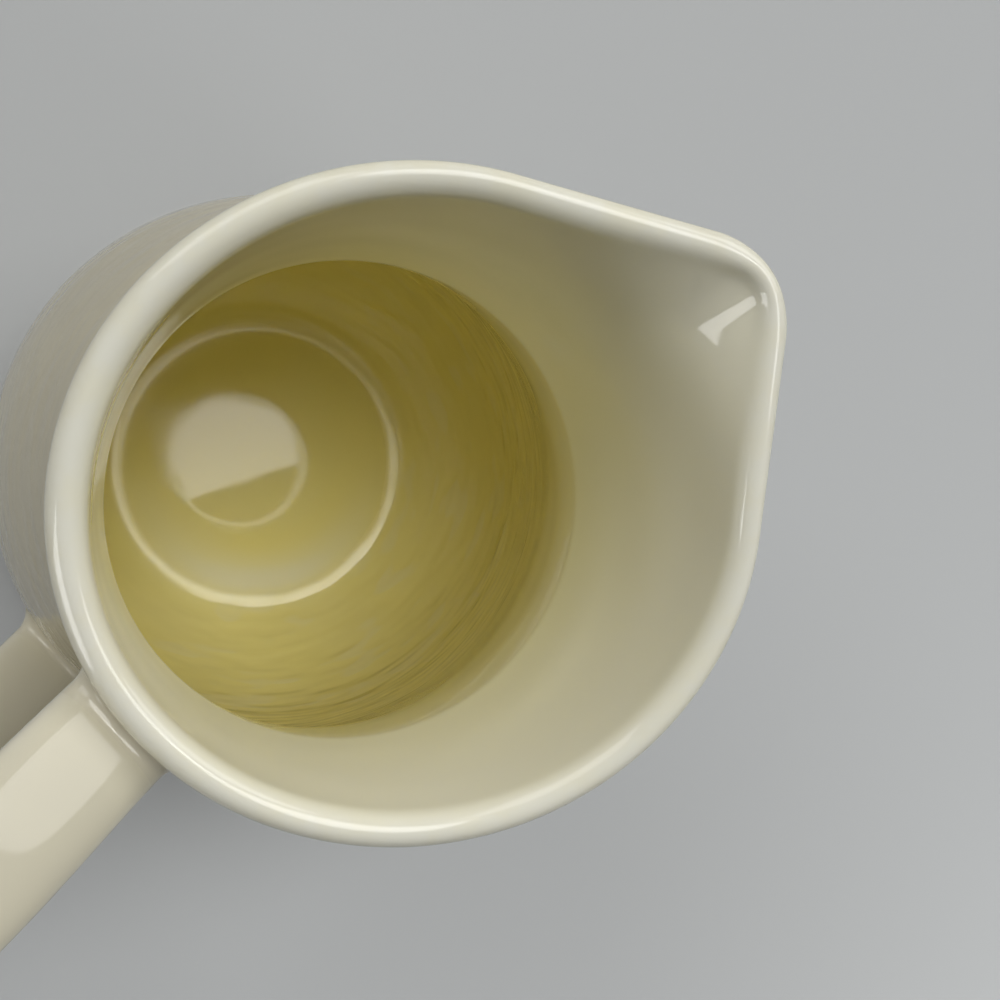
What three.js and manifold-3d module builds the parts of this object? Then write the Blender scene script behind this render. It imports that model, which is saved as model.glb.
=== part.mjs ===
// Glazed ceramic water pitcher: a pear-shaped cast body whose rim slants up to a pulled spout, a strap handle,
// and the two slip joints that lute the handle's ends to the wall.
// Millimetres, +Z up. The pitcher stands on Z = 0, the body's axis is Z and the spout points to +X.
import * as THREE from 'three';
import Module from 'manifold-3d';

// Foot and floor
const FOOT_RADIUS = 47.5;
const FOOT_HEIGHT = 3;
const FOOT_BEVEL = 1;
const FOOT_WALL = 5.7;
const FLOOR_THICKNESS = 7.2;
const FLOOR_DOME = 2.8;
const GROOVE_WIDTH = 6.3;
const GROOVE_DEPTH = 1.2;

// Belly and neck, outside, with the heights stacked from the base
const BELLY_RADIUS = 68;
const BELLY_HEIGHT = 45;
const BELLY_SPRING_DEG = 42;
const BELLY_FULLNESS = 0.35;
const SHOULDER_HEIGHT = 86;
const SHOULDER_FULLNESS = 0.4;
const NECK_RADIUS = 50.3;
const NECK_LEAN_DEG = 6;
const WALL = 5.3;

// Rim: an oval drawn out to a rounded spout, lying in a plane that rises to the spout. The lip is thinner there.
const RIM_HALF_LENGTH = 54;
const RIM_HALF_WIDTH = 55.1;
const RIM_RISE = 44;
const RIM_TILT_DEG = 15.2;
const RIM_THICKNESS = 6.4;
const RIM_ROLL_HEIGHT = 4;
const LIP_THINNING = 2.6;
const SPOUT_REACH = 65.5;
const SPOUT_TIP_RADIUS = 16.5;
const FLARE_POWER = 0.85;
const TROUGH_POWER_INSIDE = 4;
const TROUGH_POWER_OUTSIDE = 3;

// Handle strap, in the plane Y = 0, with heights from the neck's waist, and its slip joints
const HANDLE_WIDTH = 21.8;
const HANDLE_THICKNESS = 9;
const HANDLE_SQUARENESS = 2.4;
const HANDLE_FULLNESS = 0.34;
const FINGER_GAP = 42;
const UPPER_JOINT_RISE = 17;
const UPPER_ARM_DEG = 20;
const CROWN_RISE = 37;
const CROWN_SETBACK = 13;
const BACK_RISE = 8;
const LOWER_JOINT_HEIGHT = 53;
const LOWER_ARM_DEG = 40;
const JOINT_LENGTH = 6;
const JOINT_FILLET = 4.5;
const JOINT_GAP = 0.3;

// Facets
const BODY_COLUMNS = 64;
const SPOUT_CROWDING = 0.5;
const BELLY_STEPS = 6;
const SHOULDER_STEPS = 9;
const COLLAR_STEPS = 8;
const COLLAR_CROWDING = 1.5;
const ROLL_STEPS = 6;
const DOME_STEPS = 4;
const STRAP_SIDES = 20;
const STRAP_STEPS = 40;
const JOINT_STEPS = 5;
const TANGENT_STEPS = 360;

const NECK_HEIGHT = BELLY_HEIGHT + SHOULDER_HEIGHT;
const { clamp, degToRad, lerp } = THREE.MathUtils;
const range = (count) => Array.from({ length: count }, (_, i) => i);
const at = (across, height) => new THREE.Vector2(across, height);
const wasm = await Module();
wasm.setup();

// A closed solid through rings of equal length, each end closed by a fan. Rings run anticlockwise seen from
// the last ring's side.
function loft(rings) {
  const sides = rings[0].length;
  const centre = (ring) => ring.reduce((sum, p) => sum.add(p), new THREE.Vector3()).divideScalar(sides);
  const firstCentre = rings.length * sides;
  const lastCentre = firstCentre + 1;
  const lastRing = firstCentre - sides;
  const index = [];
  for (const i of range(sides)) {
    const j = (i + 1) % sides;
    for (const r of range(rings.length - 1)) {
      const low = r * sides;
      const high = low + sides;
      index.push(low + i, low + j, high + j, low + i, high + j, high + i);
    }
    index.push(firstCentre, j, i, lastCentre, lastRing + i, lastRing + j);
  }
  const points = [...rings.flat(), centre(rings[0]), centre(rings.at(-1))];
  return new THREE.BufferGeometry().setFromPoints(points).setIndex(index);
}

const toSolid = (geometry) => new wasm.Manifold(new wasm.Mesh({
  numProp: 3,
  vertProperties: new Float32Array(geometry.attributes.position.array),
  triVerts: new Uint32Array(geometry.index.array),
}));

function toGeometry(solid) {
  const { vertProperties, triVerts, numProp } = solid.getMesh();
  const geometry = new THREE.BufferGeometry();
  geometry.setAttribute('position', new THREE.Float32BufferAttribute(vertProperties, numProp));
  return geometry.setIndex(new THREE.Uint32BufferAttribute(triVerts, 1));
}

// Smooth curve in a vertical plane that leaves one point at an angle and arrives at another at its own angle.
// `fullness` is the share of the chord that each end pulls the curve along its angle.
function flow(from, fromDeg, to, toDeg, fullness) {
  const pull = from.distanceTo(to) * fullness;
  const heading = (deg) => at(Math.cos(degToRad(deg)), Math.sin(degToRad(deg))).multiplyScalar(pull);
  return new THREE.CubicBezierCurve(from, from.clone().add(heading(fromDeg)), to.clone().sub(heading(toDeg)), to);
}

// Belly and shoulder from the wall's foot up to the waist of the neck, set in from the outside by `inset`.
// Profile points are (distance from the axis, height).
function bellyProfile(foot, inset) {
  const belly = at(BELLY_RADIUS - inset, BELLY_HEIGHT);
  const neck = at(NECK_RADIUS - inset, NECK_HEIGHT);
  return [
    ...flow(foot, BELLY_SPRING_DEG, belly, 90, BELLY_FULLNESS).getPoints(BELLY_STEPS),
    ...flow(belly, 90, neck, 90 + NECK_LEAN_DEG, SHOULDER_FULLNESS).getPoints(SHOULDER_STEPS).slice(1),
  ];
}

// Support distance of the rim's outline in the direction `theta`: the farther of the oval and the tip circle.
function rimSupport(theta) {
  const oval = Math.hypot(RIM_HALF_LENGTH * Math.cos(theta), RIM_HALF_WIDTH * Math.sin(theta));
  const tip = (SPOUT_REACH - SPOUT_TIP_RADIUS) * Math.cos(theta) + SPOUT_TIP_RADIUS;
  return Math.max(oval, tip);
}

const lipThickness = (theta) => RIM_THICKNESS - LIP_THINNING * ((1 + Math.cos(theta)) / 2) ** 2;

// Distance from the axis to the rim's outline along the angle `psi`, with the outline moved in by a share of the
// lip's thickness: the nearest of its tangent lines.
function rimReach(psi, share) {
  return Math.min(...range(TANGENT_STEPS).map((i) => {
    const turn = Math.PI * ((i + 0.5) / TANGENT_STEPS - 0.5);
    return (rimSupport(psi + turn) - share * lipThickness(psi + turn)) / Math.cos(turn);
  }));
}

// The same distance for the oval alone, without its spout.
function ovalReach(psi, share) {
  const oval = Math.hypot(RIM_HALF_WIDTH * Math.cos(psi), RIM_HALF_LENGTH * Math.sin(psi));
  return (RIM_HALF_LENGTH * RIM_HALF_WIDTH) / oval - share * lipThickness(psi);
}

const rimPlane = (psi, reach) => (
  NECK_HEIGHT + RIM_RISE + Math.tan(degToRad(RIM_TILT_DEG)) * reach * Math.cos(psi)
);

const rollHeight = (psi) => (RIM_ROLL_HEIGHT * lipThickness(psi)) / RIM_THICKNESS;

// Collar from the neck's waist up to where the rim's roll begins. The round neck flares to the oval, and what the
// spout reaches beyond the oval bends out later, as a trough.
function collarProfile(psi, neck, share, troughPower) {
  const oval = ovalReach(psi, share);
  const reach = rimReach(psi, share);
  const top = rimPlane(psi, reach) - rollHeight(psi);
  return range(COLLAR_STEPS).map((i) => {
    const s = 1 - (1 - (i + 1) / COLLAR_STEPS) ** COLLAR_CROWDING;
    const trough = Math.max(reach - oval, 0) * s ** troughPower;
    return at(lerp(neck, oval, s ** FLARE_POWER) + trough, lerp(NECK_HEIGHT, top, s));
  });
}

// Rounded lip between the collar's outer and inner faces.
function rollProfile(psi) {
  const outer = rimReach(psi, 0);
  const inner = rimReach(psi, 1);
  return range(ROLL_STEPS - 1).map((i) => {
    const turn = (Math.PI * (i + 1)) / ROLL_STEPS;
    const reach = lerp(inner, outer, (1 + Math.cos(turn)) / 2);
    return at(reach, rimPlane(psi, reach) - rollHeight(psi) * (1 - Math.sin(turn)));
  });
}

function outerProfile(psi) {
  return [
    at(FOOT_RADIUS - FOOT_BEVEL, 0),
    at(FOOT_RADIUS, FOOT_BEVEL),
    ...bellyProfile(at(FOOT_RADIUS, FOOT_HEIGHT), 0),
    ...collarProfile(psi, NECK_RADIUS, 0, TROUGH_POWER_OUTSIDE),
  ];
}

// Inside of the vessel from the middle of its domed floor, down into the groove at the wall's foot, and up to the
// rim.
function innerProfile(psi) {
  const wallFoot = FOOT_RADIUS - FOOT_WALL;
  const floorEdge = wallFoot - GROOVE_WIDTH;
  const dome = range(DOME_STEPS).map((i) => {
    const share = (i + 1) / DOME_STEPS;
    return at(floorEdge * share, FLOOR_THICKNESS + FLOOR_DOME * (1 - share ** 2));
  });
  return [
    ...dome,
    ...bellyProfile(at(wallFoot, FLOOR_THICKNESS - GROOVE_DEPTH), WALL),
    ...collarProfile(psi, NECK_RADIUS - WALL, 1, TROUGH_POWER_INSIDE),
  ];
}

// Rings round the axis from one profile per column, with the columns crowded towards the spout's tip.
function ringsFrom(profileAt) {
  const columns = range(BODY_COLUMNS).map((i) => {
    const even = (2 * Math.PI * i) / BODY_COLUMNS;
    const psi = even - SPOUT_CROWDING * Math.sin(even);
    return profileAt(psi).map(({ x, y }) => new THREE.Vector3(x * Math.cos(psi), x * Math.sin(psi), y));
  });
  return range(columns[0].length).map((r) => columns.map((column) => column[r]));
}

function bodyGeometry() {
  return loft(ringsFrom((psi) => [
    ...outerProfile(psi),
    ...rollProfile(psi),
    ...innerProfile(psi).reverse(),
  ]));
}

// The body's outside up to the lip as one plain solid, grown by the gap that the slip joints keep to the wall.
function wallEnvelope() {
  const outside = (psi) => [...outerProfile(psi), ...rollProfile(psi)];
  return toSolid(loft(ringsFrom((psi) => outside(psi).map(({ x, y }) => at(x + JOINT_GAP, y)))));
}

// Outside of the wall at a height, on the handle's side.
function wallAt(height) {
  const profile = outerProfile(Math.PI);
  const above = profile.findIndex((p) => p.y > height);
  const [low, high] = [profile[above - 1], profile[above]];
  return at(-lerp(low.x, high.x, (height - low.y) / (high.y - low.y)), height);
}

// Middle line of the strap from wall to wall: up and out from the neck, over the crown, down the back and in.
function handlePath() {
  const upper = wallAt(NECK_HEIGHT + UPPER_JOINT_RISE);
  const lower = wallAt(LOWER_JOINT_HEIGHT);
  const back = at(-(BELLY_RADIUS + FINGER_GAP + HANDLE_THICKNESS / 2), NECK_HEIGHT + BACK_RISE);
  const crown = at(back.x + CROWN_SETBACK, NECK_HEIGHT + CROWN_RISE);
  const path = new THREE.CurvePath();
  path.add(flow(upper, 180 - UPPER_ARM_DEG, crown, 180, HANDLE_FULLNESS));
  path.add(flow(crown, 180, back, 270, HANDLE_FULLNESS));
  path.add(flow(back, 270, lower, 360 - LOWER_ARM_DEG, HANDLE_FULLNESS));
  return path;
}

const path = handlePath();
const pathLength = path.getLength();

// The strap's rounded oblong section, square to its path, at a distance along it and grown all round by `grow`.
// Before the start and past the end of the path it runs on straight.
function strapRing(distance, grow) {
  const along = clamp(distance, 0, pathLength);
  const direction = path.getTangentAt(along / pathLength);
  const middle = path.getPointAt(along / pathLength).addScaledVector(direction, distance - along);
  const squared = (value) => Math.sign(value) * Math.abs(value) ** (2 / HANDLE_SQUARENESS);
  return range(STRAP_SIDES).map((i) => {
    const turn = (2 * Math.PI * i) / STRAP_SIDES;
    const across = (HANDLE_WIDTH / 2 + grow) * squared(Math.sin(turn));
    const out = (HANDLE_THICKNESS / 2 + grow) * squared(Math.cos(turn));
    return new THREE.Vector3(middle.x + out * direction.y, across, middle.y - out * direction.x);
  });
}

function handleGeometry() {
  return loft(range(STRAP_STEPS + 1).map((i) => (
    strapRing(lerp(JOINT_LENGTH, pathLength - JOINT_LENGTH, i / STRAP_STEPS), 0)
  )));
}

// Slip joint: a collar from the strap's end to the wall, spreading as a hollow fillet and cut to the wall.
// `alongPath` turns a distance from the wall into a distance along the path.
function jointGeometry(alongPath, wall) {
  const spread = (fromWall) => {
    const left = JOINT_FILLET - clamp(fromWall, 0, JOINT_FILLET);
    return JOINT_FILLET - Math.sqrt(JOINT_FILLET ** 2 - left ** 2);
  };
  const fillet = range(JOINT_STEPS + 1).map((i) => (JOINT_FILLET * i) / JOINT_STEPS);
  const stations = [-(WALL + JOINT_FILLET), ...fillet, JOINT_LENGTH];
  const rings = stations
    .sort((a, b) => alongPath(a) - alongPath(b))
    .map((fromWall) => strapRing(alongPath(fromWall), spread(fromWall)));
  return toGeometry(toSolid(loft(rings)).subtract(wall));
}

function named(name, geometry, color, roughness) {
  geometry.computeVertexNormals();
  const mesh = new THREE.Mesh(geometry, new THREE.MeshStandardMaterial({ color, roughness, metalness: 0 }));
  mesh.name = name;
  return mesh;
}

const wall = wallEnvelope();
const pitcher = new THREE.Group();
pitcher.add(
  named('body', bodyGeometry(), 0xe6e3d0, 0.12),
  named('handle', handleGeometry(), 0xe8e5d4, 0.12),
  named('upper_joint', jointGeometry((fromWall) => fromWall, wall), 0xe4e1cf, 0.15),
  named('lower_joint', jointGeometry((fromWall) => pathLength - fromWall, wall), 0xe4e1cf, 0.15),
);

export default pitcher;
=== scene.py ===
# %% [markdown]
# # A glazed water pitcher
# A cream jug of cast clay: a pear-shaped body with a slanted rim and a pulled spout, and a strap handle
# that is luted on with slip. The CAD solids give the sizes and the places. This lesson builds the same
# pieces again as smooth surfaces, because a glossy glaze mirrors its surroundings and shows every
# facet.

# %% The frame
import math

import bpy
import numpy as np
from mathutils import Matrix, Vector


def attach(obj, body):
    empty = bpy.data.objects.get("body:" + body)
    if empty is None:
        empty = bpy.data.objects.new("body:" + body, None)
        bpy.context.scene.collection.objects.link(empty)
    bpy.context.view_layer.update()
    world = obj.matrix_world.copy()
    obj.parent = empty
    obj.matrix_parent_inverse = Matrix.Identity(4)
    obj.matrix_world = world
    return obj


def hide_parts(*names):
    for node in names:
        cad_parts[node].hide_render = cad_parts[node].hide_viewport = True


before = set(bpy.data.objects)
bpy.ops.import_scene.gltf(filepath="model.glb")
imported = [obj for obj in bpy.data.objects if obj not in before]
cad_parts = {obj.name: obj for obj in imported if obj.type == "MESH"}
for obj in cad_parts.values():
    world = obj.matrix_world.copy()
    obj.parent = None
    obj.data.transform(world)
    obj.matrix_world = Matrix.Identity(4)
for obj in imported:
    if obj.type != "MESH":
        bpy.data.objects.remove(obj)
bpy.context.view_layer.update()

MM = 0.001
print("CAD nodes:", sorted(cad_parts))

# %% [markdown]
# ## Curves that flow into each other
# A potter's profile has no corners, so each stretch leaves its start along one heading and reaches its
# end along another. A cubic Bezier curve does that with four points. Blender has such curves, but here
# they are worked out as arrays, so one call gives a whole family of curves, one for each direction
# round the pot.

# %% Headings and flowing curves
QUARTER_CIRCLE_FULLNESS = 0.39


def heading(degrees):
    """Unit vectors in a vertical plane: (cos a, sin a) for an angle above the horizontal."""
    angle = np.radians(degrees)
    return np.stack([np.cos(angle), np.sin(angle)], axis=-1)


def unit(vectors):
    """Vectors divided by their lengths."""
    return vectors / np.linalg.norm(vectors, axis=-1, keepdims=True)


def flow(start, leave, end, arrive, fullness, count):
    """Cubic curves from start to end: (1-t)^3 start + 3(1-t)^2 t (start + pull leave)
    + 3(1-t) t^2 (end - pull arrive) + t^3 end, where pull is fullness times the chord."""
    start, leave, end, arrive = np.broadcast_arrays(start, leave, end, arrive)
    pull = fullness * np.linalg.norm(end - start, axis=-1, keepdims=True)
    t = np.linspace(0.0, 1.0, count).reshape((-1,) + (1,) * start.ndim)
    first = start + pull * leave
    second = end - pull * arrive
    return ((1 - t) ** 3 * start + 3 * (1 - t) ** 2 * t * first
            + 3 * (1 - t) * t ** 2 * second + t ** 3 * end)


def line(start, end, count):
    """Straight stretch: (1-t) start + t end."""
    start, end = np.broadcast_arrays(start, end)
    t = np.linspace(0.0, 1.0, count).reshape((-1,) + (1,) * start.ndim)
    return (1 - t) * start + t * end


quarter = flow(heading(0), heading(90), heading(90), heading(180), QUARTER_CIRCLE_FULLNESS, 3)
print("quarter turn by flow:", quarter.round(3).tolist())

# %% [markdown]
# ## The rim's outline
# Seen square on, the rim is an oval that was pulled out to a spout while the clay was soft. The finger
# that pulls it leaves two nearly straight sides between the oval and a round tip, which is just what a
# string round an oval and a small circle would do. The support function describes that string: for each
# direction it is the farther of the two shapes. Moving every tangent line in by the lip's thickness
# gives the inner outline, whose tip is tighter.

# %% Rim outline
RIM_HALF_LENGTH, RIM_HALF_WIDTH = 54.0, 55.1
SPOUT_REACH, SPOUT_TIP_RADIUS, VALLEY_RADIUS = 64.9, 16.5, 6.0
RIM_THICKNESS, LIP_THINNING = 6.4, 1.8
COLUMNS = 384
SPOUT_CROWDING = 0.35
TANGENTS, WIDEST_TURN = 1441, 1.5

even = np.linspace(0.0, 2 * np.pi, COLUMNS, endpoint=False)
psi = even - SPOUT_CROWDING * np.sin(even)


def facing(angle, side_deg=0.0):
    """1 on one side of the pot, 0 on the opposite side: (1 + cos(angle - side)) / 2."""
    return (1 + np.cos(angle - math.radians(side_deg))) / 2


def lip_thickness(theta):
    """Full thickness behind, less towards the spout: thickness - thinning facing^2."""
    return RIM_THICKNESS - LIP_THINNING * facing(theta) ** 2


def rim_reach(inset, tip_reach, tip_radius):
    """Distance from the axis to the outline in each column. A tangent lies at the larger of the oval's
    distance, hypot(a cos, b sin) less the inset, and the tip circle's, (reach - radius) cos + radius;
    the outline is the least of tangent / cos(turn)."""
    turn = np.linspace(-WIDEST_TURN, WIDEST_TURN, TANGENTS)
    theta = psi[:, None] + turn
    oval = np.hypot(RIM_HALF_LENGTH * np.cos(theta), RIM_HALF_WIDTH * np.sin(theta)) - inset(theta)
    tip = (tip_reach - tip_radius) * np.cos(theta) + tip_radius
    return (np.maximum(oval, tip) / np.cos(turn)).min(axis=1)


oval_outside = rim_reach(np.zeros_like, 0.0, 0.0)
oval_inside = rim_reach(lip_thickness, 0.0, 0.0)
rim_outside = rim_reach(np.zeros_like, SPOUT_REACH, SPOUT_TIP_RADIUS)
rim_inside = rim_reach(lip_thickness, SPOUT_REACH - lip_thickness(0.0), VALLEY_RADIUS)
print(f"rim reach: {rim_outside.min():.1f} mm at the sides to {rim_outside.max():.1f} mm at the spout")

# %% [markdown]
# ## The body's profile
# The body is one skin that runs from the middle of the underside out to the foot, up over belly,
# shoulder, neck and collar, over the lip, and down inside to the domed floor. Spinning a curve would
# make the round parts, but not the spout, so every column gets its own profile: round up to the neck,
# then easing into the rim's outline.

# %% Belly and collar
FOOT_RADIUS, FOOT_HEIGHT, FOOT_BEVEL = 47.5, 3.0, 1.0
BELLY_RADIUS, BELLY_HEIGHT = 68.0, 45.0
BELLY_SPRING_DEG, BELLY_FULLNESS = 42.0, 0.35
SHOULDER_HEIGHT, SHOULDER_FULLNESS = 86.0, 0.4
NECK_RADIUS, NECK_LEAN_DEG, WALL = 50.3, 6.0, 5.3
RIM_RISE, RIM_TILT_DEG, RIM_ROLL_HEIGHT = 44.0, 15.2, 4.0
FLARE_POWER = 0.85
NECK_HEIGHT = BELLY_HEIGHT + SHOULDER_HEIGHT
UP_DEG = 90.0

rim_slope = math.tan(math.radians(RIM_TILT_DEG)) * np.cos(psi)
roll_height = RIM_ROLL_HEIGHT * lip_thickness(psi) / RIM_THICKNESS


def rim_plane(reach):
    """Height of the slanted rim at a distance from the axis: the rise plus slope times reach."""
    return NECK_HEIGHT + RIM_RISE + rim_slope * reach


def belly(foot, inset, count):
    """Foot to belly to neck as two flowing curves, set in from the outside by the wall's thickness."""
    widest = np.array([BELLY_RADIUS - inset, BELLY_HEIGHT])
    waist = np.array([NECK_RADIUS - inset, NECK_HEIGHT])
    up, lean = heading(UP_DEG), heading(UP_DEG + NECK_LEAN_DEG)
    lower = flow(foot, heading(BELLY_SPRING_DEG), widest, up, BELLY_FULLNESS, count)
    upper = flow(widest, up, waist, lean, SHOULDER_FULLNESS, 2 * count)
    return np.concatenate([lower, upper[1:]])


def collar(neck, oval, reach, trough_power, count):
    """Neck to rim: the neck's radius grows to the oval's as s^flare, where s is the share of the
    height. What the spout reaches beyond the oval is added as s^trough, so that it bends out late, as a
    trough."""
    s = np.linspace(0.0, 1.0, count)[:, None]
    top = rim_plane(reach) - roll_height
    radius = neck + (oval - neck) * s ** FLARE_POWER + (reach - oval) * s ** trough_power
    return np.stack([radius, NECK_HEIGHT + (top - NECK_HEIGHT) * s], axis=-1)


def everywhere(profile):
    """The same profile in every column."""
    return np.repeat(profile[:, None, :], COLUMNS, axis=1)


rim_height = rim_plane(rim_outside)
print(f"neck {NECK_HEIGHT:.0f} mm up, rim {rim_height.min():.0f} to {rim_height.max():.0f} mm up")

# %% Mouth and floor
TROUGH_POWER_INSIDE, TROUGH_POWER_OUTSIDE = 5.0, 3.5
LIP_CREST_SHARE, LIP_FULLNESS = 0.42, 0.42
FOOT_WALL, FLOOR_THICKNESS, FLOOR_DOME = 5.7, 7.2, 2.8
GROOVE_WIDTH, GROOVE_DEPTH = 6.3, 1.2
COLLAR_SAMPLES, COLLAR_INSIDE_SAMPLES, DOME_SAMPLES = 90, 140, 60

bore = NECK_RADIUS - WALL
collar_outside = collar(NECK_RADIUS, oval_outside, rim_outside, TROUGH_POWER_OUTSIDE, COLLAR_SAMPLES)
collar_inside = collar(bore, oval_inside, rim_inside, TROUGH_POWER_INSIDE, COLLAR_INSIDE_SAMPLES)
crest_reach = rim_outside + (rim_inside - rim_outside) * LIP_CREST_SHARE
crest = np.stack([crest_reach, rim_plane(crest_reach)], axis=-1)
over_crest = unit(np.stack([-np.ones(COLUMNS), -rim_slope], axis=-1))
lip_rise = unit(collar_outside[-1] - collar_outside[-2])
lip_fall = unit(collar_inside[-2] - collar_inside[-1])

wall_foot = FOOT_RADIUS - FOOT_WALL
floor_edge = wall_foot - GROOVE_WIDTH
groove = np.array([wall_foot, FLOOR_THICKNESS - GROOVE_DEPTH])
share = np.linspace(0.0, 1.0, DOME_SAMPLES)
dome = np.stack([floor_edge * share, FLOOR_THICKNESS + FLOOR_DOME * (1 - share ** 2)], axis=-1)
print(f"lip {lip_thickness(0.0):.1f} mm thick at the spout, floor {2 * floor_edge:.1f} mm across")

# %% Whole profile
UNDERSIDE_SAMPLES, BEVEL_SAMPLES, FOOT_SAMPLES = 80, 6, 8
WALL_SAMPLES, LIP_SAMPLES, GROOVE_SAMPLES = 90, 20, 14

foot_inner = (FOOT_RADIUS - FOOT_BEVEL, 0.0)
foot_outer = (FOOT_RADIUS, FOOT_BEVEL)
foot_top = (FOOT_RADIUS, FOOT_HEIGHT)
stretches = {
    "underside": everywhere(line((0.0, 0.0), foot_inner, UNDERSIDE_SAMPLES)),
    "bevel": everywhere(line(foot_inner, foot_outer, BEVEL_SAMPLES)),
    "foot": everywhere(line(foot_outer, foot_top, FOOT_SAMPLES)),
    "wall": everywhere(belly(foot_top, 0.0, WALL_SAMPLES)),
    "collar": collar_outside,
    "lip outside": flow(collar_outside[-1], lip_rise, crest, over_crest, LIP_FULLNESS, LIP_SAMPLES),
    "lip inside": flow(crest, over_crest, collar_inside[-1], lip_fall, LIP_FULLNESS, LIP_SAMPLES),
    "collar inside": collar_inside[::-1],
    "wall inside": everywhere(belly(groove, WALL, WALL_SAMPLES)[::-1]),
    "groove": everywhere(line(groove, dome[-1], GROOVE_SAMPLES)),
    "floor": everywhere(dome[::-1]),
}
profile = np.concatenate([piece if i == 0 else piece[1:] for i, piece in enumerate(stretches.values())])
step = np.linalg.norm(np.diff(profile, axis=0), axis=-1).mean(axis=1)
arc = np.concatenate([[0.0], np.cumsum(step)])
lengths = np.array([len(piece) - 1 for piece in stretches.values()])
stretch_of = np.concatenate([[0], np.repeat(np.arange(len(stretches)), lengths)])
end_of = dict(zip(stretches, arc[np.cumsum(lengths)]))
print("stretches end after mm:", {name: round(float(end), 1) for name, end in end_of.items()})

# %% [markdown]
# ## What the glaze does to corners
# Glaze melts, draws back from sharp edges and fills hollow ones, so a glazed pot has no crisp corner
# anywhere. The profile is smoothed in the same way: each row of the skin is a weighted mean of the
# samples near it along the profile, with a bell curve less than a millimetre wide. It is wider above
# the foot, at the neck and in the groove inside, which a sponge has softened. Rows are crowded where
# the profile turns.

# %% Glazed rows
ROWS = 256
ROW_CROWDING, CORNER_REACH = 5.0, 4.0
GLAZE_ROUNDING = 0.75
SOFT_PLACES = {"foot": (1.8, 5.0), "wall": (4.0, 10.0), "wall inside": (4.0, 7.0)}
CORNERS = ("underside", "foot", "wall", "collar", "lip outside", "lip inside", "collar inside",
           "wall inside", "groove")


def bell(distance, reach):
    """Bell curve: exp(-(distance / reach)^2)."""
    return np.exp(-(distance / reach) ** 2)


corners = np.array([end_of[name] for name in CORNERS])
density = 1 + ROW_CROWDING * bell(arc[:, None] - corners, CORNER_REACH).max(axis=1)
travelled = np.concatenate([[0.0], np.cumsum((density[1:] + density[:-1]) / 2 * step)])
row_arc = np.interp(np.linspace(0.0, travelled[-1], ROWS), travelled, arc)
rounding = np.full(ROWS, GLAZE_ROUNDING)
for place, (softness, spread) in SOFT_PLACES.items():
    rounding += (softness - GLAZE_ROUNDING) * bell(row_arc - end_of[place], spread)
weight = np.exp(-0.5 * ((row_arc[:, None] - arc) / rounding[:, None]) ** 2) * np.gradient(arc)
weight /= weight.sum(axis=1, keepdims=True)
rows = np.einsum("rs,scx->rcx", weight, profile)
row_gaps = np.diff(row_arc)
print(f"{ROWS} rows of {COLUMNS} columns, {row_gaps.min():.2f} to {row_gaps.max():.2f} mm apart")

# %% [markdown]
# ## Waves in the wall
# A cast and sponged wall is never quite true. Its waves are a fraction of a millimetre deep and run
# round the pot, and they break every reflection into streaks. A bump in the material could fake them,
# but the mirror image in the glaze is so telling that they are put into the mesh, as a few sine waves
# with chosen turns and lengths. The floor has fainter waves, and its dome has settled with the crown a
# little to one side.

# %% Wall waves
WAVE_SEED, WAVE_COUNT, WAVE_DEPTH = 7, 9, 0.035
MOST_TURNS, WAVE_LENGTHS = 4, (13.0, 42.0)
CALM_REACH = 9.0

rng = np.random.default_rng(WAVE_SEED)
turns = rng.integers(-MOST_TURNS, MOST_TURNS + 1, WAVE_COUNT)
wave_lengths = rng.uniform(*WAVE_LENGTHS, WAVE_COUNT)
phases = rng.uniform(0.0, 2 * np.pi, (2, WAVE_COUNT))


def waves(height, phase):
    """Sum of depth * sin(turns * angle + 2 pi height / length + phase), longer waves being deeper."""
    angle = turns * psi[None, :, None] + 2 * np.pi * height[..., None] / wave_lengths + phase
    depth = WAVE_DEPTH * wave_lengths / wave_lengths.mean()
    return (depth * np.sin(angle)).sum(axis=-1)


inside_row = row_arc > end_of["lip outside"]
on_floor = row_arc > end_of["wall inside"]
calm = 1 - bell(row_arc[:, None] - corners, CALM_REACH).max(axis=1)
upright = calm * ~on_floor * (row_arc > end_of["foot"])
wavy = np.where(inside_row[:, None], waves(rows[..., 1], phases[1]), waves(rows[..., 1], phases[0]))
radius = rows[..., 0] + upright[:, None] * wavy
print(f"deepest wall wave {np.abs(wavy * upright[:, None]).max():.2f} mm")

# %% Floor waves
FLOOR_WAVE_DEPTH, FLOOR_WAVE_LENGTH, FLOOR_WAVE_PHASES = 0.02, 26.0, (1.0, 2.0)
CROWN_SHIFT, CROWN_FADE_POWER = (1.0, -10.0), 4

x = radius * np.cos(psi)
y = radius * np.sin(psi)
floor_wave = (np.sin(2 * np.pi * x / FLOOR_WAVE_LENGTH + FLOOR_WAVE_PHASES[0])
              * np.sin(2 * np.pi * y / FLOOR_WAVE_LENGTH + FLOOR_WAVE_PHASES[1]))
crown_lean = 2 * FLOOR_DOME * (x * CROWN_SHIFT[0] + y * CROWN_SHIFT[1]) / floor_edge ** 2
crown_fade = np.clip(1 - (radius / wall_foot) ** CROWN_FADE_POWER, 0.0, 1.0)
height = rows[..., 1].copy()
height += (calm * on_floor)[:, None] * FLOOR_WAVE_DEPTH * floor_wave
height += on_floor[:, None] * crown_lean * crown_fade
body_points = np.stack([x, y, height], axis=-1)
print(f"floor {height[on_floor].min():.2f} to {height[on_floor].max():.2f} mm up")

# %% [markdown]
# ## From grid to mesh
# A closed skin is a grid of points whose columns join round and whose two ends are closed by fans. The
# whole mesh goes in as arrays. Point attributes carry what the glaze does at each place, so that the
# materials can read it.

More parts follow.
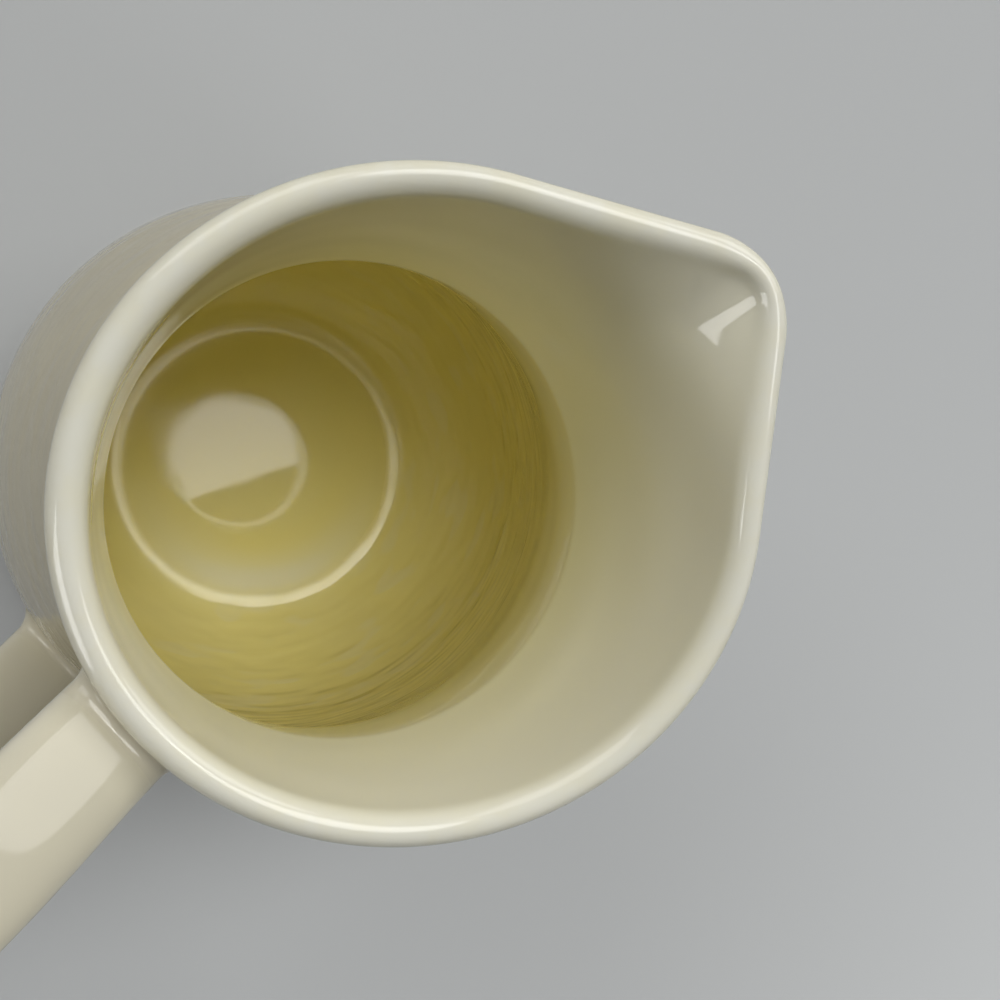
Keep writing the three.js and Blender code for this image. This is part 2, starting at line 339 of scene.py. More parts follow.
# %% Faces of a grid
def grid_faces(count, columns):
    """Quads between rows, each from a point, the next column's, and the same two a row on; and a fan of
    triangles round the pole at each end. The poles come after the grid's points."""
    ring = np.arange(count * columns).reshape(count, columns)
    beside = np.roll(ring, -1, axis=1)
    poles = np.full((2, columns), count * columns) + np.array([[0], [1]])
    quads = np.stack([ring[:-1], beside[:-1], beside[1:], ring[1:]], axis=-1).reshape(-1, 4)
    fans = np.concatenate([np.stack([poles[0], beside[0], ring[0]], axis=-1),
                           np.stack([poles[1], ring[-1], beside[-1]], axis=-1)])
    return quads, fans


def sharpen_ends(mesh, count, columns):
    """Marks the edges whose two points both lie on the first row, or both on the last."""
    ends = np.zeros(2 * len(mesh.edges), np.int32)
    mesh.edges.foreach_get("vertices", ends)
    on_first = (ends < columns).reshape(-1, 2).all(axis=1)
    on_last = ((ends >= (count - 1) * columns) & (ends < count * columns)).reshape(-1, 2).all(axis=1)
    mesh.edges.foreach_set("use_edge_sharp", on_first | on_last)


print("quads and triangles of 3 rows and 4 columns:", [len(faces) for faces in grid_faces(3, 4)])

# %% Skin maker
def skin(name, points, masks, sharp_ends=False):
    """Mesh object from rows of points; a pole is the mean of its end row, in place and in masks."""
    count, columns = points.shape[:2]
    quads, fans = grid_faces(count, columns)
    places = np.concatenate([points.reshape(-1, 3), points[[0, -1]].mean(axis=1)]) * MM
    starts = np.concatenate([4 * np.arange(len(quads)), quads.size + 3 * np.arange(len(fans))])
    mesh = bpy.data.meshes.new(name)
    mesh.vertices.add(len(places))
    mesh.vertices.foreach_set("co", places.ravel())
    mesh.loops.add(quads.size + fans.size)
    mesh.loops.foreach_set("vertex_index", np.concatenate([quads.ravel(), fans.ravel()]))
    mesh.polygons.add(len(quads) + len(fans))
    mesh.polygons.foreach_set("loop_start", starts)
    mesh.update(calc_edges=True)
    mesh.polygons.foreach_set("use_smooth", np.ones(len(mesh.polygons), bool))
    if sharp_ends:
        sharpen_ends(mesh, count, columns)
    for mask_name, values in masks.items():
        spread = np.broadcast_to(values, (count, columns))
        full = np.concatenate([spread.ravel(), spread[[0, -1]].mean(axis=1)]).astype(np.float32)
        mesh.attributes.new(mask_name, "FLOAT", "POINT").data.foreach_set("value", full)
    piece = bpy.data.objects.new(name, mesh)
    bpy.context.scene.collection.objects.link(piece)
    print(f"{name}: {len(mesh.vertices)} points, {len(mesh.polygons)} faces")
    return piece


# %% [markdown]
# ## The body
# Six masks go with the body. Depth grows from the lip down the inside, and the inside grows more amber
# with it: partly the glaze running together, partly painted shade for the light thrown between the
# walls. On one side of the floor, where the light through the mouth falls, depth is less: a paler patch
# that is partly milky glaze and partly a painted pool of light. Thin marks the lip, where the melt draws
# back. Pooled marks the hollows where it gathers, and bare marks the underside, which is wiped clean so
# that the pot doesn't stick to the kiln shelf. Outside marks the outer face, which is painted darker as
# painted shade, and ripple says how dimpled the skin is: most of all on one side of the deep inner wall,
# as streaks, whose paler ridges on that lit side are partly a painted highlight.

# %% Depth inside, and a painted pool of light on the floor
# The milky patch lies on the floor's lit side: partly milky glaze, partly a painted pool of light.
MILKY_AND_LIT_DEPTH, MILKY_AND_LIT_PLACE, MILKY_AND_LIT_REACH = 0.2, 8.0, 9.0
MILKY_AND_LIT_SIDE_DEG, MILKY_AND_LIT_FOCUS = 231.0, 2

crest_height = crest[:, 1]
below_crest = np.clip((crest_height - height) / (crest_height - FLOOR_THICKNESS), 0.0, 1.0)
inner_depth = below_crest * inside_row[:, None]
milky_and_lit = bell(row_arc - end_of["wall inside"] - MILKY_AND_LIT_PLACE, MILKY_AND_LIT_REACH)[:, None]
milky_and_lit = milky_and_lit * facing(psi, MILKY_AND_LIT_SIDE_DEG) ** MILKY_AND_LIT_FOCUS
depth = inner_depth * (1 - (1 - MILKY_AND_LIT_DEPTH) * milky_and_lit)
print(f"depth reaches {depth.max():.2f}, and {depth[-1].min():.2f} at the middle of the floor")

# %% Ripples of the glaze
# On the lit side of the deep inner wall the ripple is strongest; its paler ridges there are partly a
# painted highlight.
STREAKS_FROM, STREAKS_FULL, STREAKS_LIT_SIDE_DEG = 0.55, 0.82, -85.0
RIPPLES = {"wall": 0.25, "collar": 0.02, "wall inside": 1.0, "groove": 0.05, "floor": 0.012}

streaky = np.clip((inner_depth - STREAKS_FROM) / (STREAKS_FULL - STREAKS_FROM), 0.0, 1.0)
streaky *= facing(psi, STREAKS_LIT_SIDE_DEG)
streaky = np.where(inside_row[:, None], streaky, 1.0)
ripple_of_sample = np.array([RIPPLES.get(name, 0.0) for name in stretches])[stretch_of]
ripple = (weight @ ripple_of_sample)[:, None] * streaky
print(f"ripple reaches {ripple.max():.2f}")

# %% Body
THIN_REACH, POOL_REACH, OUTSIDE_BLEND, BARE_MARGIN = 3.0, 4.0, 9.0, 0.5

thin = bell(row_arc - end_of["lip outside"], THIN_REACH)[:, None]
hollows = np.array([(end_of["wall inside"] + end_of["groove"]) / 2, end_of["foot"]])
pooled = bell(row_arc[:, None] - hollows, POOL_REACH).max(axis=1)[:, None]
bare = (row_arc < end_of["underside"] - BARE_MARGIN).astype(float)[:, None]
# The outside mask carries painted shade on the outer face.
outside = np.clip((end_of["lip outside"] - row_arc) / OUTSIDE_BLEND, 0.0, 1.0)[:, None]
body = skin("pitcher_body", body_points, {"depth": depth, "thin": thin, "pooled": pooled, "bare": bare,
                                          "outside": outside, "ripple": ripple})

# %% [markdown]
# ## The handle's path
# The strap leaves the neck just under the lip, climbs to a crown, turns down at the back and comes in
# to the belly. Three flowing curves make the line. Places along it are given by the distance walked, so
# that the rows of the strap are evenly spaced and a distance means the same everywhere.

# %% Outer wall behind
back_column = COLUMNS // 2
outer = profile[(arc > end_of["foot"]) & (arc < end_of["lip outside"]), back_column]


def wall_radius(level):
    """Radius of the outer wall on the handle's side at a height, read off the profile."""
    return np.interp(level, outer[:, 1], outer[:, 0])


def wall_point(level):
    """Place on the outer wall behind the axis, as (x, z) = (-radius, height)."""
    return np.array([-wall_radius(level), level])


print("wall behind the axis at the neck:", wall_point(NECK_HEIGHT).round(1).tolist())

# %% Handle path
HANDLE_FULLNESS, HANDLE_THICKNESS, FINGER_GAP = 0.34, 9.0, 42.0
UPPER_JOINT_RISE, UPPER_ARM_DEG = 17.0, 20.0
CROWN_RISE, CROWN_SETBACK, BACK_RISE = 37.0, 13.0, 8.0
LOWER_JOINT_HEIGHT, LOWER_ARM_DEG = 53.0, 40.0
CROWN_SAMPLES, BACK_SAMPLES, LOWER_ARM_SAMPLES = 400, 300, 700

upper = wall_point(NECK_HEIGHT + UPPER_JOINT_RISE)
lower = wall_point(LOWER_JOINT_HEIGHT)
back = np.array([-(BELLY_RADIUS + FINGER_GAP + HANDLE_THICKNESS / 2), NECK_HEIGHT + BACK_RISE])
crown = np.array([back[0] + CROWN_SETBACK, NECK_HEIGHT + CROWN_RISE])
leave, arrive = heading(180 - UPPER_ARM_DEG), heading(360 - LOWER_ARM_DEG)
level_back, down = heading(180), heading(270)
path = np.concatenate([
    flow(upper, leave, crown, level_back, HANDLE_FULLNESS, CROWN_SAMPLES),
    flow(crown, level_back, back, down, HANDLE_FULLNESS, BACK_SAMPLES)[1:],
    flow(back, down, lower, arrive, HANDLE_FULLNESS, LOWER_ARM_SAMPLES)[1:],
])
path_arc = np.concatenate([[0.0], np.cumsum(np.linalg.norm(np.diff(path, axis=0), axis=-1))])
path_heading = unit(np.gradient(path, path_arc, axis=0))
path_length = path_arc[-1]


def along(distance):
    """Place and heading at distances along the path; beyond its ends the path runs on straight."""
    held = np.clip(distance, 0.0, path_length)
    ahead = unit(np.stack([np.interp(held, path_arc, path_heading[:, i]) for i in (0, 1)], axis=-1))
    place = np.stack([np.interp(held, path_arc, path[:, i]) for i in (0, 1)], axis=-1)
    return place + (distance - held)[..., None] * ahead, ahead


print(f"handle path {path_length:.1f} mm long, {-back[0]:.1f} mm out at the back")

# %% [markdown]
# ## The strap
# A pulled strap is a flat bar with round edges. Its section is a superellipse, |x/a|^n + |z/b|^n = 1,
# which lies between an ellipse and a rectangle, and it is carried along the path. A hand made it, so
# its width and thickness breathe a little along the way, and the glaze is thin on its two edges.

# %% Strap
HANDLE_WIDTH, HANDLE_SQUARENESS = 21.8, 2.4
JOINT_LENGTH = 6.0
STRAP_SIDES, STRAP_ROWS = 96, 260
STRAP_BREATH, BREATH_SHORT, BREATH_LONG, BREATH_PHASE = 0.12, 9.0, 23.0, 1.0
STRAP_RIPPLE, STRAP_EDGE_POWER = 0.01, 12

section_turn = np.linspace(0.0, 2 * np.pi, STRAP_SIDES, endpoint=False)


def squared(values):
    """Sign(v) |v|^(2/n), which turns a circle's coordinates into a superellipse's."""
    return np.sign(values) * np.abs(values) ** (2 / HANDLE_SQUARENESS)


def strap_rows(distance, grow):
    """Sections square to the path: half width and half thickness plus grow, along Y and out from the
    path."""
    middle, ahead = along(distance)
    across = (HANDLE_WIDTH / 2 + grow) * squared(np.sin(section_turn))
    out = (HANDLE_THICKNESS / 2 + grow) * squared(np.cos(section_turn))
    return np.stack([middle[:, None, 0] + out * ahead[:, None, 1], across,
                     middle[:, None, 1] - out * ahead[:, None, 0]], axis=-1)


strap_at = np.linspace(JOINT_LENGTH, path_length - JOINT_LENGTH, STRAP_ROWS)
free = np.sin(np.pi * np.linspace(0.0, 1.0, STRAP_ROWS))
swell = np.sin(strap_at / BREATH_SHORT) + np.sin(strap_at / BREATH_LONG + BREATH_PHASE)
breath = STRAP_BREATH * free * swell
strap_thin = np.abs(np.sin(section_turn)) ** STRAP_EDGE_POWER
handle = skin("strap_handle", strap_rows(strap_at, breath[:, None]),
              {"thin": strap_thin, "pooled": 0.0, "ripple": STRAP_RIPPLE}, sharp_ends=True)

# %% [markdown]
# ## The slip joints
# Slip is squeezed out where the strap is pressed on, and a wet finger wipes it to a hollow fillet. The
# fillet is a quarter circle: at the wall the section has grown by most of the fillet's radius, and one
# radius away it is the strap's own. The gap to the wall depends on the growth, so the two are worked
# out in turn a few times.

# %% Fillets
JOINT_FILLET, FILLET_SEAT = 4.5, 0.2
JOINT_SINK = 2.0


def wall_gap(points):
    """Distance of points in front of the outer wall, measured along the radius."""
    return np.hypot(points[..., 0], points[..., 1]) - wall_radius(points[..., 2])


def fillet_growth(gap):
    """Quarter circle: R - sqrt(R^2 - (R - gap - seat)^2) for a gap from 0 to R. The circle is seated a
    hair deep in the wall, so it meets the wall at a slant and not as a feather edge."""
    left = JOINT_FILLET - np.clip(gap + FILLET_SEAT, 0.0, JOINT_FILLET)
    return JOINT_FILLET - np.sqrt(JOINT_FILLET ** 2 - left ** 2)


def kept_near_wall(points):
    """Points deeper in the wall than the sink are moved out along their radius to that depth."""
    deep = np.maximum(-JOINT_SINK - wall_gap(points), 0.0)
    level = np.hypot(points[..., 0], points[..., 1])
    moved = points.copy()
    moved[..., :2] *= ((level + deep) / level)[..., None]
    return moved


print(f"fillet {fillet_growth(0.0):.1f} mm wide at the wall")

# %% Slip joints
JOINT_REACH, JOINT_ROWS = 9.0, 64
SETTLING_ROUNDS, SETTLING_STEP = 12, 0.5


def slip_joint(name, distance, from_wall):
    """Fillet between wall and strap, as rows in the order of the path, each so far out from the wall.
    The growth fades out towards the strap as 3 f^2 - 2 f^3."""
    fade = np.clip((JOINT_LENGTH - from_wall) / JOINT_FILLET, 0.0, 1.0)
    fade = (fade * fade * (3 - 2 * fade))[:, None]
    grow = np.zeros((JOINT_ROWS, STRAP_SIDES))
    for _ in range(SETTLING_ROUNDS):
        wanted = fade * fillet_growth(wall_gap(strap_rows(distance, grow)))
        grow += SETTLING_STEP * (wanted - grow)
    # Where the slip pools at the wall, the joint takes the wall's darker colour: painted shade in the
    # crease.
    pooled_slip_and_shade = np.clip(grow / fillet_growth(0.0), 0.0, 1.0)
    return skin(name, kept_near_wall(strap_rows(distance, grow)),
                {"thin": 0.0, "pooled": pooled_slip_and_shade, "ripple": STRAP_RIPPLE}, sharp_ends=True)


out_from_wall = np.linspace(-JOINT_REACH, JOINT_LENGTH, JOINT_ROWS)
upper_slip = slip_joint("upper_slip_joint", out_from_wall, out_from_wall)
lower_slip = slip_joint("lower_slip_joint", path_length - out_from_wall[::-1], out_from_wall[::-1])

# %% [markdown]
# ## Where the pieces belong
# The pitcher has no moving piece, so everything rides on the one body. Each skin stands for its CAD
# node.

# %% Pieces on the frame
for piece, node, slot in ((body, "body", "glaze_body"),
                          (handle, "handle", "glaze_handle"),
                          (upper_slip, "upper_joint", "glaze_joint"),
                          (lower_slip, "lower_joint", "glaze_joint")):
    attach(piece, "root")
    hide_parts(node)
    print(f"{piece.name} stands for {node}")

# %% [markdown]
# ## The glaze
# A cream glaze is a thick, clear, slightly tinted glass over pale clay. It is more amber where it is
# thick, paler and barer on edges, a little cloudy, and it holds a few specks of iron. The ridges of a
# dimpled skin are paler: partly thin glaze, partly a painted highlight. Its skin is smooth but not flat:
# melting leaves a faint orange peel, and pooled glaze is less shiny. One node group makes all of that
# from masks, and each material gives it its own tints.

# %% Node helpers
def srgb(red, green, blue):
    """Colour of 0 to 255 values as linear light: ((c + 0.055) / 1.055) ^ 2.4 above the toe."""
    share = np.array([red, green, blue]) / 255
    linear = np.where(share > 0.04045, ((share + 0.055) / 1.055) ** 2.4, share / 12.92)
    return (*linear.tolist(), 1.0)


def add(tree, kind, inputs=(), **settings):
    """New node. Settings are its properties; an input that is a socket is linked, any other is set."""
    made = tree.nodes.new(kind)
    for key, value in settings.items():
        setattr(made, key, value)
    for key, value in dict(inputs).items():
        if isinstance(value, bpy.types.NodeSocket):
            tree.links.new(value, made.inputs[key])
        else:
            made.inputs[key].default_value = value
    return made


def calc(tree, operation, *values, clamp=False):
    """Output of a Math node."""
    made = add(tree, "ShaderNodeMath", dict(enumerate(values)), operation=operation, use_clamp=clamp)
    return made.outputs[0]


def tint(tree, share, first, second):
    """Mix of two colours: first where the share is 0, second where it is 1."""
    mixed = add(tree, "ShaderNodeMix", {0: share, 6: first, 7: second}, data_type="RGBA")
    return mixed.outputs[2]


def ramp(tree, value, low, high, out_low=0.0, out_high=1.0):
    """Value carried smoothly from one range to another and held at its ends."""
    made = add(tree, "ShaderNodeMapRange", {"Value": value, "From Min": low, "From Max": high,
                                            "To Min": out_low, "To Max": out_high},
               interpolation_type="SMOOTHSTEP")
    return made.outputs["Result"]


def noise(tree, place, scale, detail):
    """Cloudy value of about 0.3 to 0.7: noise with so many lumps to the metre."""
    made = add(tree, "ShaderNodeTexNoise", {"Vector": place, "Scale": scale, "Detail": detail})
    return made.outputs["Fac"]


print("middle grey as linear light:", [round(part, 3) for part in srgb(128, 128, 128)[:3]])

# %% Specks and wear
SPECK_SCALE, SPECK_EDGE, SPECK_CHOICE = 130.0, (0.03, 0.06), (0.955, 0.965)
MOTTLE_SCALE, MOTTLE_DETAIL = 190.0, 4.0
MOTTLE_RANGE, MOTTLE_WEAR = (0.3, 0.65), (0.35, 1.0)


def iron_specks(tree, place):
    """Dots in the middle of a few cells: near the cell's centre, times a random number near 1."""
    cells = add(tree, "ShaderNodeTexVoronoi", {"Vector": place, "Scale": SPECK_SCALE}).outputs
    dot = ramp(tree, cells["Distance"], *SPECK_EDGE, 1.0, 0.0)
    lot = add(tree, "ShaderNodeSeparateColor", {0: cells["Color"]}).outputs[0]
    return calc(tree, "MULTIPLY", dot, ramp(tree, lot, *SPECK_CHOICE))


def edge_wear(tree, place, thin):
    """The thin mask, broken up by a fine mottle."""
    mottle = noise(tree, place, MOTTLE_SCALE, MOTTLE_DETAIL)
    return calc(tree, "MULTIPLY", thin, ramp(tree, mottle, *MOTTLE_RANGE, *MOTTLE_WEAR))


print(f"cells {1 / SPECK_SCALE / MM:.1f} mm wide, a speck in 1 of {1 / (1 - SPECK_CHOICE[1]):.0f}")

# %% Glaze group
CLOUD_SCALE, CLOUD_DETAIL, CLOUD_RANGE = 26.0, 3.0, (0.3, 0.7)
CLOUD_THICK, CLOUD_ROUGH = (-0.06, 0.08), (0.05, 0.09)
DIMPLE_SCALE, DIMPLE_DETAIL, DIMPLE_STRETCH = 200.0, 1.0, (0.3, 0.3, 1.0)
RIDGE_RANGE, RIDGE_PALING_AND_HIGHLIGHT = (0.55, 0.66), 0.24
PEEL_SCALE, PEEL_DETAIL, PEEL_HEIGHT = 260.0, 1.0, 0.0025
SPECK_STRENGTH, SPECK_PIT = 0.6, 0.0035
IRON = srgb(120, 96, 62)
WORN_ROUGH, POOLED_ROUGH = 0.05, 0.2
GLAZE_INPUTS = {"Cream": "NodeSocketColor", "Amber": "NodeSocketColor", "Pale": "NodeSocketColor",
                "Thick": "NodeSocketFloat", "Thin": "NodeSocketFloat", "Pooled": "NodeSocketFloat",
                "Ripple": "NodeSocketFloat"}
GLAZE_OUTPUTS = {"Color": "NodeSocketColor", "Roughness": "NodeSocketFloat", "Height": "NodeSocketFloat"}


def glaze_group():
    """Group that turns masks into the glaze's colour, roughness and height."""
    group = bpy.data.node_groups.new("glaze", "ShaderNodeTree")
    for side, sockets in (("INPUT", GLAZE_INPUTS), ("OUTPUT", GLAZE_OUTPUTS)):
        for name, kind in sockets.items():
            group.interface.new_socket(name, in_out=side, socket_type=kind)
    given = add(group, "NodeGroupInput").outputs
    place = add(group, "ShaderNodeTexCoord").outputs["Object"]
    stretched = add(group, "ShaderNodeMapping", {"Vector": place, "Scale": DIMPLE_STRETCH}).outputs[0]
    cloud = noise(group, place, CLOUD_SCALE, CLOUD_DETAIL)
    dimples = noise(group, stretched, DIMPLE_SCALE, DIMPLE_DETAIL)
    peel = noise(group, place, PEEL_SCALE, PEEL_DETAIL)
    worn = edge_wear(group, place, given["Thin"])
    speck = iron_specks(group, place)

    # Ridges of the dimples are paled: partly thin glaze, partly a painted highlight.
    ridge = calc(group, "MULTIPLY", ramp(group, dimples, *RIDGE_RANGE), given["Ripple"])
    thick = calc(group, "ADD", given["Thick"], ramp(group, cloud, *CLOUD_RANGE, *CLOUD_THICK), clamp=True)
    thick = calc(group, "MULTIPLY_ADD", ridge, -RIDGE_PALING_AND_HIGHLIGHT, thick, clamp=True)
    colour = tint(group, thick, given["Cream"], given["Amber"])
    colour = tint(group, worn, colour, given["Pale"])
    colour = tint(group, calc(group, "MULTIPLY", speck, SPECK_STRENGTH), colour, IRON)

    rippled = calc(group, "MULTIPLY", dimples, given["Ripple"])
    height = calc(group, "MULTIPLY_ADD", peel, PEEL_HEIGHT, rippled)
    height = calc(group, "SUBTRACT", height, calc(group, "MULTIPLY", speck, SPECK_PIT))
    roughness = calc(group, "ADD", ramp(group, cloud, *CLOUD_RANGE, *CLOUD_ROUGH),
                     calc(group, "MULTIPLY", worn, WORN_ROUGH))
    roughness = calc(group, "MULTIPLY_ADD", given["Pooled"], POOLED_ROUGH, roughness)
    add(group, "NodeGroupOutput", {"Color": colour, "Roughness": roughness, "Height": height})
    return group


glaze = glaze_group()
print("glaze group:", len(glaze.nodes), "nodes")

# %% [markdown]
# ## Three glazed finishes
# The same glaze lies on body, handle and joints. The deep inside of the body is coloured more amber:
# partly the glaze's colour, partly painted shade for the light that is thrown from wall to wall through
# the thick glaze. The outer wall and the handle are painted darker, as painted shade, and the slip takes
# on the wall's darker colour where it meets it, a painted shade in the crease. The wiped underside
# shows dry, matt clay.

# %% Glaze materials
CREAM, PALE = srgb(240, 236, 213), srgb(239, 237, 221)
# The deep amber that grows with depth inside is partly the glaze's colour, partly painted shade.
AMBER, DEEP_AMBER = srgb(242, 236, 190), srgb(243, 231, 152)
# Painted shade: the handle's, the joints' and the outer wall's creams are darker than the cream inside.
SHADED_OUTER_CREAM, SHADED_OUTER_PALE = srgb(212, 206, 184), srgb(220, 216, 198)
SHADED_WALL_CREAM = srgb(191, 183, 157)
CLAY, CLAY_ROUGHNESS = srgb(222, 212, 192), 0.8
AMBER_DEPTHS, AMBER_SHARE_DEPTHS = (0.1, 0.9), (0.0, 0.45)
RIPPLE_HEIGHT = 0.0018
GLAZE_IOR = 1.5


def mask(tree, name):
    """A point attribute of the piece, as a value."""
    return add(tree, "ShaderNodeAttribute", attribute_name=name).outputs["Fac"]


def glazed(name, cream, amber, pale, deep=None):
    """Glossy glaze over clay. With a deep tint, the depth mask colours the inside, partly as painted
    shade, the outside mask paints shade on the outer wall, and bare clay shows below."""
    material = bpy.data.materials.new(name)
    material.use_nodes = True
    tree = material.node_tree
    tree.nodes.clear()
    pooled_glaze = mask(tree, "pooled")
    thick = pooled_glaze
    if deep:
        # Painted shade: the outside mask darkens the outer wall's cream.
        cream = tint(tree, mask(tree, "outside"), cream, SHADED_WALL_CREAM)
        # Deep inside, the amber grows with depth: partly the glaze's colour, partly painted shade.
        amber = tint(tree, ramp(tree, mask(tree, "depth"), *AMBER_DEPTHS), amber, deep)
        thick = calc(tree, "MAXIMUM", thick, ramp(tree, mask(tree, "depth"), *AMBER_SHARE_DEPTHS))
    made = add(tree, "ShaderNodeGroup", {"Cream": cream, "Amber": amber, "Pale": pale, "Thick": thick,
                                         "Thin": mask(tree, "thin"), "Pooled": pooled_glaze,
                                         "Ripple": mask(tree, "ripple")}, node_tree=glaze).outputs
    colour, roughness = made["Color"], made["Roughness"]
    if deep:
        bare_clay = mask(tree, "bare")
        colour = tint(tree, bare_clay, colour, CLAY)
        roughness = calc(tree, "MAXIMUM", roughness, calc(tree, "MULTIPLY", bare_clay, CLAY_ROUGHNESS))
    bump = add(tree, "ShaderNodeBump", {"Distance": RIPPLE_HEIGHT, "Height": made["Height"]})
    shader = add(tree, "ShaderNodeBsdfPrincipled", {"Base Color": colour, "Roughness": roughness,
                                                    "IOR": GLAZE_IOR, "Normal": bump.outputs[0]})
    add(tree, "ShaderNodeOutputMaterial", {"Surface": shader.outputs[0]})
    print("finish:", name)
    return material


body.data.materials.append(glazed("body_glaze", CREAM, AMBER, PALE, DEEP_AMBER))
# The handle's and the joints' darker creams are painted shade.
handle.data.materials.append(glazed("handle_glaze", SHADED_OUTER_CREAM, AMBER, SHADED_OUTER_PALE))
joint_glaze = glazed("joint_glaze", SHADED_OUTER_CREAM, SHADED_WALL_CREAM, SHADED_OUTER_PALE)
upper_slip.data.materials.append(joint_glaze)
lower_slip.data.materials.append(joint_glaze)

# %% [markdown]
# ## The floor
# The pitcher stands on a plain pale table.

# %% Floor
FLOOR_SIZE = 6000.0
FLOOR_GREY, FLOOR_ROUGHNESS = srgb(178, 180, 180), 0.75


def plain_floor():
    """Square plane at the height of the foot."""
    half = FLOOR_SIZE / 2 * MM
    mesh = bpy.data.meshes.new("floor")
    mesh.from_pydata([(-half, -half, 0), (half, -half, 0), (half, half, 0), (-half, half, 0)], [],
                     [(0, 1, 2, 3)])
    material = bpy.data.materials.new("floor_grey")
    material.use_nodes = True
    shader = material.node_tree.nodes["Principled BSDF"]
    shader.inputs["Base Color"].default_value = FLOOR_GREY
    shader.inputs["Roughness"].default_value = FLOOR_ROUGHNESS
    mesh.materials.append(material)
    plane = bpy.data.objects.new("floor", mesh)
    bpy.context.scene.collection.objects.link(plane)
    return plane


table = plain_floor()
print("floor colour:", [round(c, 3) for c in FLOOR_GREY[:3]])

# %% [markdown]
# ## The light
# A roof light above the pot does most of the work, and two large side windows and a weak even light
# from the room fill in. A glossy pot also shows its lamps. One lamp would have to suit both the light
# and the mirror image, so some panels here do only one of the two: cards that only mirrors see give the
# floor of the pot its bright patch, and rim and spout their glints. One side of the table is brighter,
# by a small lamp that is linked to the table alone.

# %% Lamp helpers
LIT_PLACE = np.array([0.0, 0.0, 100.0])


def panel(name, centre, size, radiance, turn_deg=None, shape="RECTANGLE", diffuse=True, glossy=True):
    """Soft lamp. It faces straight down at its turn, or the pot if it has none. Its power is radiance
    times pi times its area, and an ellipse has pi / 4 of the area of its box."""
    lamp = bpy.data.lights.new(name, "AREA")
    lamp.shape = shape
    lamp.size, lamp.size_y = (side * MM for side in size)
    area = lamp.size * lamp.size_y * (math.pi / 4 if shape == "ELLIPSE" else 1.0)
    lamp.energy = radiance * math.pi * area
    holder = bpy.data.objects.new(name, lamp)
    holder.location = [c * MM for c in centre]
    if turn_deg is None:
        holder.rotation_euler = Vector(LIT_PLACE - centre).to_track_quat("-Z", "Y").to_euler()
    else:
        holder.rotation_euler = (0.0, 0.0, math.radians(turn_deg))
    holder.visible_diffuse, holder.visible_glossy = diffuse, glossy
    bpy.context.scene.collection.objects.link(holder)
    print(f"{name}: {lamp.size:.2f} by {lamp.size_y:.2f} m, {lamp.energy:.1f} W")
    return holder


def towards(azimuth_deg, elevation_deg, distance):
    """Place at a distance from the pot: cos(el) cos(az), cos(el) sin(az), sin(el)."""
    level, rise = heading(elevation_deg)
    ahead, aside = heading(azimuth_deg)
    return LIT_PLACE + distance * np.array([level * ahead, level * aside, rise])


print("1 m off and half way up on the spout's side:", towards(0.0, 45.0, 1000.0).round().tolist())

# %% Lamps
ROOF_TURN_DEG = -21.0

panel("roof light", centre=(616.0, 621.0, 2900.0), size=(1700.0, 900.0), radiance=7.5,
      turn_deg=ROOF_TURN_DEG, glossy=False)
panel("roof mirror card", centre=(576.0, 550.0, 2800.0), size=(1641.0, 1846.0), radiance=4.3,
      turn_deg=ROOF_TURN_DEG, diffuse=False)
panel("spout side window", centre=towards(0.0, 39.0, 4000.0), size=(3700.0, 2200.0), radiance=2.5,
      shape="ELLIPSE")
panel("left side window", centre=towards(95.0, 33.0, 4000.0), size=(2700.0, 2700.0), radiance=1.9)
panel("rim mirror card", centre=towards(-45.0, 65.0, 3000.0), size=(1500.0, 900.0), radiance=4.5,
      diffuse=False)
panel("spout glint card", centre=towards(172.0, 14.0, 2500.0), size=(900.0, 1300.0), radiance=4.5,
      diffuse=False)
table_light = panel("table light", centre=(100.0, -600.0, 400.0), size=(300.0, 300.0), radiance=4.2,
                    turn_deg=0.0, glossy=False)
table_only = bpy.data.collections.new("table only")
table_only.objects.link(table)
table_light.light_linking.receiver_collection = table_only

# %% Room
ROOM_BRIGHT, ROOM_DARK = 0.17, 0.02
ROOM_BRIGHT_SIDE = (-0.35, -0.1, 0.93)
ROOM_COLOUR, WHITE = srgb(140, 142, 146), (1.0, 1.0, 1.0, 1.0)


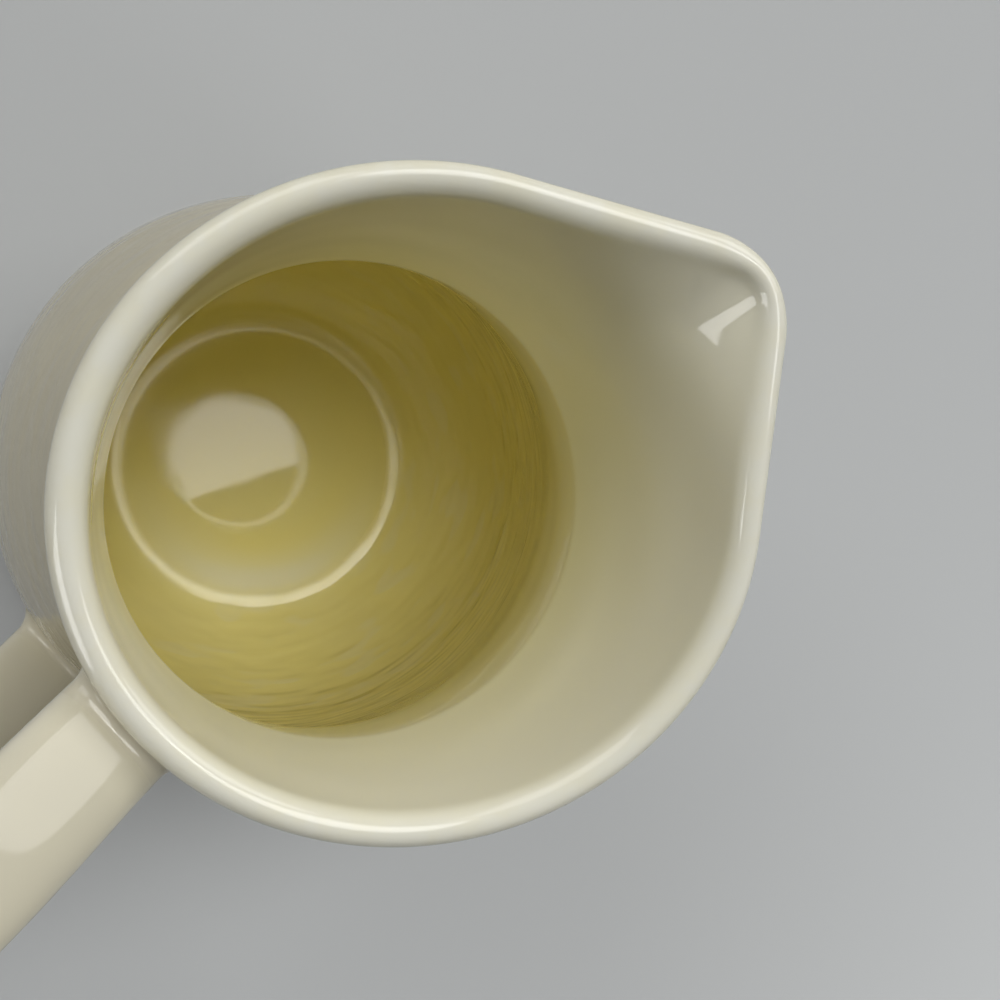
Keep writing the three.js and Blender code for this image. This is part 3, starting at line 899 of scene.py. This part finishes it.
def room():
    """World that shows a pale room to the camera and to mirrors, and lights the pot mostly from
    overhead: its strength rises with the dot product of the direction and the bright side."""
    world = bpy.data.worlds.new("room")
    world.use_nodes = True
    tree = world.node_tree
    tree.nodes.clear()
    ray = add(tree, "ShaderNodeLightPath").outputs
    seen = calc(tree, "MAXIMUM", calc(tree, "MAXIMUM", ray["Is Camera Ray"], ray["Is Glossy Ray"]),
                ray["Is Transmission Ray"])
    direction = add(tree, "ShaderNodeTexCoord").outputs["Generated"]
    towards_bright = add(tree, "ShaderNodeVectorMath", {0: direction, 1: ROOM_BRIGHT_SIDE},
                         operation="DOT_PRODUCT").outputs["Value"]
    strength = ramp(tree, towards_bright, 0.0, 1.0, ROOM_DARK, ROOM_BRIGHT)
    light = add(tree, "ShaderNodeBackground", {"Color": WHITE, "Strength": strength})
    view = add(tree, "ShaderNodeBackground", {"Color": ROOM_COLOUR, "Strength": 1.0})
    mixed = add(tree, "ShaderNodeMixShader", {0: seen, 1: light.outputs[0], 2: view.outputs[0]})
    add(tree, "ShaderNodeOutputWorld", {"Surface": mixed.outputs[0]})
    return world


bpy.context.scene.world = room()
print("room light:", ROOM_DARK, "to", ROOM_BRIGHT)

# %% [markdown]
# ## The camera
# The picture is taken from close above, looking down into the mouth. The camera's place comes from the
# circles of the neck and the floor and from the rim's outline as they appear in the picture. The view
# is turned so that the spout points to the upper right and the handle to the lower left.

# %% Camera
EYE = np.array([-26.5, 48.9, 351.5])
SIGHT = np.array([0.209, -0.283, -0.936])
IMAGE_UP_DEG = 52.6
FOCAL_PIXELS, IMAGE_PIXELS = 1200.0, 1000.0
SENSOR_WIDTH, NEAREST = 36.0, 10.0

sight = unit(SIGHT)
right = unit(np.cross(sight, (*heading(IMAGE_UP_DEG), 0.0)))
up = np.cross(right, sight)
camera = bpy.data.cameras.new("camera")
camera.sensor_width = SENSOR_WIDTH
camera.lens = SENSOR_WIDTH * FOCAL_PIXELS / IMAGE_PIXELS
camera.clip_start = NEAREST * MM
viewer = bpy.data.objects.new("camera", camera)
placed = np.eye(4)
placed[:3] = np.stack([right, up, -sight, EYE * MM], axis=1)
viewer.matrix_world = Matrix(placed.tolist())
bpy.context.scene.collection.objects.link(viewer)
bpy.context.scene.camera = viewer
bpy.context.scene.view_settings.view_transform = "Standard"
print(f"lens {camera.lens:.1f} mm at {EYE.tolist()} mm")
